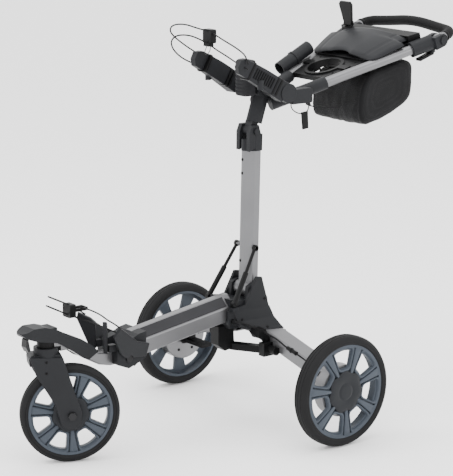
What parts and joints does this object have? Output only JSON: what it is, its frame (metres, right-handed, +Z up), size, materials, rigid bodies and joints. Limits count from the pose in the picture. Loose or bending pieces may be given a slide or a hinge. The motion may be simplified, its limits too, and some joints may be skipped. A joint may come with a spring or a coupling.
{
  "type": "three-wheeled electric golf push cart",
  "caption": "Folding three-wheeled golf push cart with hub-motor rear wheels, swivelling front wheel, bag cradles, console tray and tilting grip bow",
  "frame": {"origin": "on the ground under the middle of the cart's outer box", "axes": "+Z up, the cart points along -Y, its left side is +X"},
  "size_m": [0.731, 1.3154, 1.0763],
  "materials": {
    "silver": "satin anodised",
    "charcoal": "fine moulded grain",
    "black": "matt moulded",
    "trim": "smooth",
    "tyre": "fine tread",
    "wheel_blue_grey": "satin moulded",
    "motor": "satin",
    "steel": "plain",
    "cord": "woven sleeve over elastic",
    "cable": "smooth sheath",
    "cloth": "coated woven nylon",
    "grip_foam": "soft moulded grip",
    "pad_rubber": "speckled soft pad"
  },
  "bodies": {
    "chassis": {"rail": "silver", "rail_trim": "trim", "housing": "charcoal", "housing_wings": "charcoal", "legs": "silver", "axle_mounts": "black", "axles_and_pins": "steel", "motor_cables": "cable", "cable_plugs": "black", "under_frame": "black", "rail_end_bracket": "charcoal", "bag_wings": "charcoal", "base_arms": "charcoal", "lower_cord_a": "cord", "lower_cord_b": "cord", "lower_hook": "black"},
    "front_release": {"front_latch": "black"},
    "front_section": {"front_arm": "silver", "nose_cover": "charcoal", "steering_head": "black"},
    "swivel_lever": {"swivel_lock": "steel"},
    "steering_fork": {"fork": "charcoal", "front_axle": "steel"},
    "front_wheel": {"front_tyre": "tyre", "front_rim": "wheel_blue_grey"},
    "mast_section": {"mast": "silver", "mast_collar": "charcoal"},
    "left_strut": {"strut_left": "black"},
    "right_strut": {"strut_right": "black"},
    "upper_section": {"neck": "charcoal", "head_bracket": "charcoal", "rest_pad": "pad_rubber", "upper_arm_left": "charcoal", "upper_arm_right": "charcoal", "upper_cord_a": "cord", "upper_cord_b": "cord", "upper_hook": "black", "hook_loop": "cord", "loop_tag": "black", "handle_tubes": "silver", "console": "black", "umbrella_holder": "charcoal", "handle_clamps": "charcoal", "accessory_bag": "cloth", "bag_strap": "cloth"},
    "tray_lid": {"console_lid": "charcoal"},
    "phone_cradle": {"phone_holder": "black"},
    "tilting_grip": {"handle_bow": "silver", "grip": "grip_foam"},
    "left_lever": {"clamp_lever_left": "black"},
    "right_lever": {"clamp_lever_right": "black"},
    "rear_wheel_left": {"rear_tyre_left": "tyre", "rear_rim_left": "wheel_blue_grey", "hub_motor_left": "motor", "hub_cap_left": "charcoal"},
    "rear_wheel_right": {"rear_tyre_right": "tyre", "rear_rim_right": "wheel_blue_grey", "hub_motor_right": "motor", "hub_cap_right": "charcoal"}
  },
  "joints": [
    {"name": "rear_wheel_left_spin", "type": "hinge", "parent": "chassis", "child": "rear_wheel_left", "pos_m": [0.3435, 0.0933, 0.146], "axis": [1, 0, 0], "continuous": true},
    {"name": "rear_wheel_right_spin", "type": "hinge", "parent": "chassis", "child": "rear_wheel_right", "pos_m": [-0.3435, 0.0933, 0.146], "axis": [1, 0, 0], "continuous": true},
    {"name": "front_arm_fold", "type": "hinge", "parent": "chassis", "child": "front_section", "pos_m": [0, -0.3587, 0.24], "axis": [1, 0, 0], "range_deg": [0, 95]},
    {"name": "front_latch_press", "type": "hinge", "parent": "chassis", "child": "front_release", "pos_m": [0, -0.3087, 0.217], "axis": [1, 0, 0], "range_deg": [0, 20]},
    {"name": "fork_swivel", "type": "hinge", "parent": "front_section", "child": "steering_fork", "pos_m": [0, -0.5797, 0.3], "axis": [0, 0, 1], "continuous": true},
    {"name": "swivel_lock_flip", "type": "hinge", "parent": "front_section", "child": "swivel_lever", "pos_m": [0, -0.6387, 0.3266], "axis": [-1, 0, 0], "range_deg": [0, 35]},
    {"name": "front_wheel_spin", "type": "hinge", "parent": "steering_fork", "child": "front_wheel", "pos_m": [0.02393, -0.52621, 0.126], "axis": [0.9128, -0.4083, 0], "continuous": true},
    {"name": "mast_fold", "type": "hinge", "parent": "chassis", "child": "mast_section", "pos_m": [0, 0.0548, 0.352], "axis": [1, 0, 0], "range_deg": [0, 70]},
    {"name": "strut_left_turn", "type": "hinge", "parent": "mast_section", "child": "left_strut", "pos_m": [0.0375, 0.0553, 0.4677], "axis": [1, 0, 0], "range_deg": [-72, 2]},
    {"name": "strut_right_turn", "type": "hinge", "parent": "mast_section", "child": "right_strut", "pos_m": [-0.0375, 0.0553, 0.4677], "axis": [1, 0, 0], "range_deg": [-72, 2]},
    {"name": "neck_fold", "type": "hinge", "parent": "mast_section", "child": "upper_section", "pos_m": [0, 0.0633, 0.776], "axis": [-1, 0, 0], "range_deg": [0, 75]},
    {"name": "tray_lid_hinge", "type": "hinge", "parent": "upper_section", "child": "tray_lid", "pos_m": [0, 0.49591, 1.00548], "axis": [-1, 0, 0], "range_deg": [0, 45]},
    {"name": "phone_cradle_fold", "type": "hinge", "parent": "upper_section", "child": "phone_cradle", "pos_m": [-0.115, 0.50665, 1.01361], "axis": [-1, 0, 0], "range_deg": [0, 60]},
    {"name": "handle_tilt", "type": "hinge", "parent": "upper_section", "child": "tilting_grip", "pos_m": [0, 0.57514, 0.99285], "axis": [1, 0, 0], "range_deg": [-20, 20]},
    {"name": "clamp_lever_left_flip", "type": "hinge", "parent": "upper_section", "child": "left_lever", "pos_m": [0.157, 0.56029, 0.95698], "axis": [1, 0, 0], "range_deg": [0, 60]},
    {"name": "clamp_lever_right_flip", "type": "hinge", "parent": "upper_section", "child": "right_lever", "pos_m": [-0.157, 0.56029, 0.95698], "axis": [1, 0, 0], "range_deg": [0, 60]}
  ],
  "couplings": [
    {"joint": "strut_left_turn", "follows": "mast_fold", "ratio": -1},
    {"joint": "strut_right_turn", "follows": "mast_fold", "ratio": -1}
  ]
}
